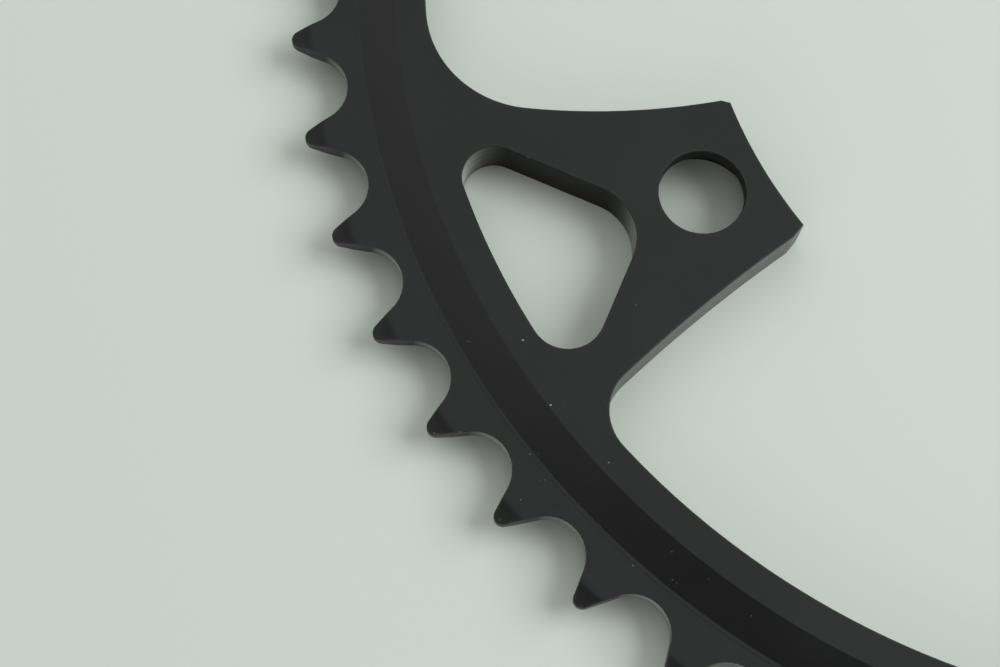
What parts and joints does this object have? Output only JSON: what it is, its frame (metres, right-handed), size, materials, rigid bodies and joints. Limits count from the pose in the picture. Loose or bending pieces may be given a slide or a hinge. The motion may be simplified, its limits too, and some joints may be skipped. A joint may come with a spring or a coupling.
{
  "type": "bicycle chainring",
  "caption": "Flat toothed ring for a bicycle crank, with a sloped band inside its teeth and windowed tabs that reach in to the chainring bolts.",
  "frame": {"origin": "on the ring's axis, in the plane of the back face that the ring lies on", "axes": "+Z along the ring's axis, from the counterbored back face to the face that meets the crank spider; +X midway between two tooth gaps"},
  "size_m": [0.2136, 0.2136, 0.006],
  "materials": {
    "black_anodised": "satin black anodised"
  },
  "bodies": {
    "root": {"chainring": "black_anodised"}
  },
  "joints": []
}
